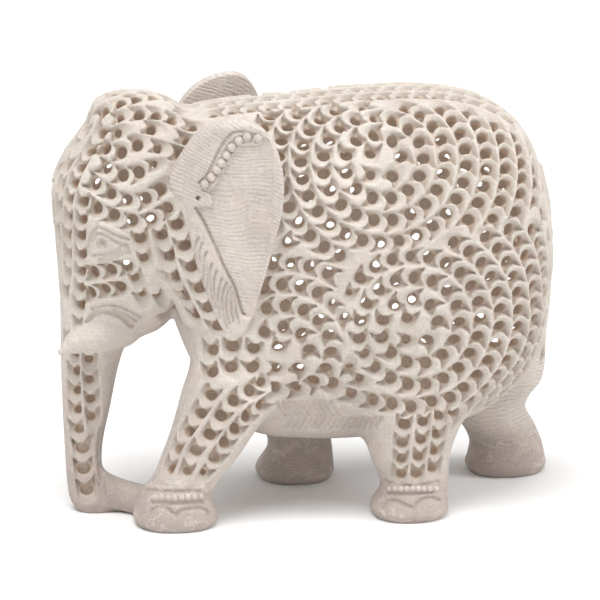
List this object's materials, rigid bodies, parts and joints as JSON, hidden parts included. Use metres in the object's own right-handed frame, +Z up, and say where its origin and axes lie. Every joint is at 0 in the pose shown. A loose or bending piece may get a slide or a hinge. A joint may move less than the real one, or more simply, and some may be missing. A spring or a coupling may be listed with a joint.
{
  "type": "openwork stone elephant figurine",
  "caption": "Walking elephant carved from one block of pale soapstone, hollow and pierced all over with leaf-shaped openwork in scrolls, plain shield ears and short tusks.",
  "frame": {"origin": "on the ground under the middle of the figure", "axes": "-X the way the elephant walks, +Z up, -Y the elephant's left side, whose feet step forward"},
  "size_m": [0.1552, 0.073, 0.1303],
  "materials": {
    "soapstone": "matt, rubbed smooth on the ribs, with faint warm grey veins"
  },
  "bodies": {
    "root": {"elephant": "soapstone"}
  },
  "joints": []
}
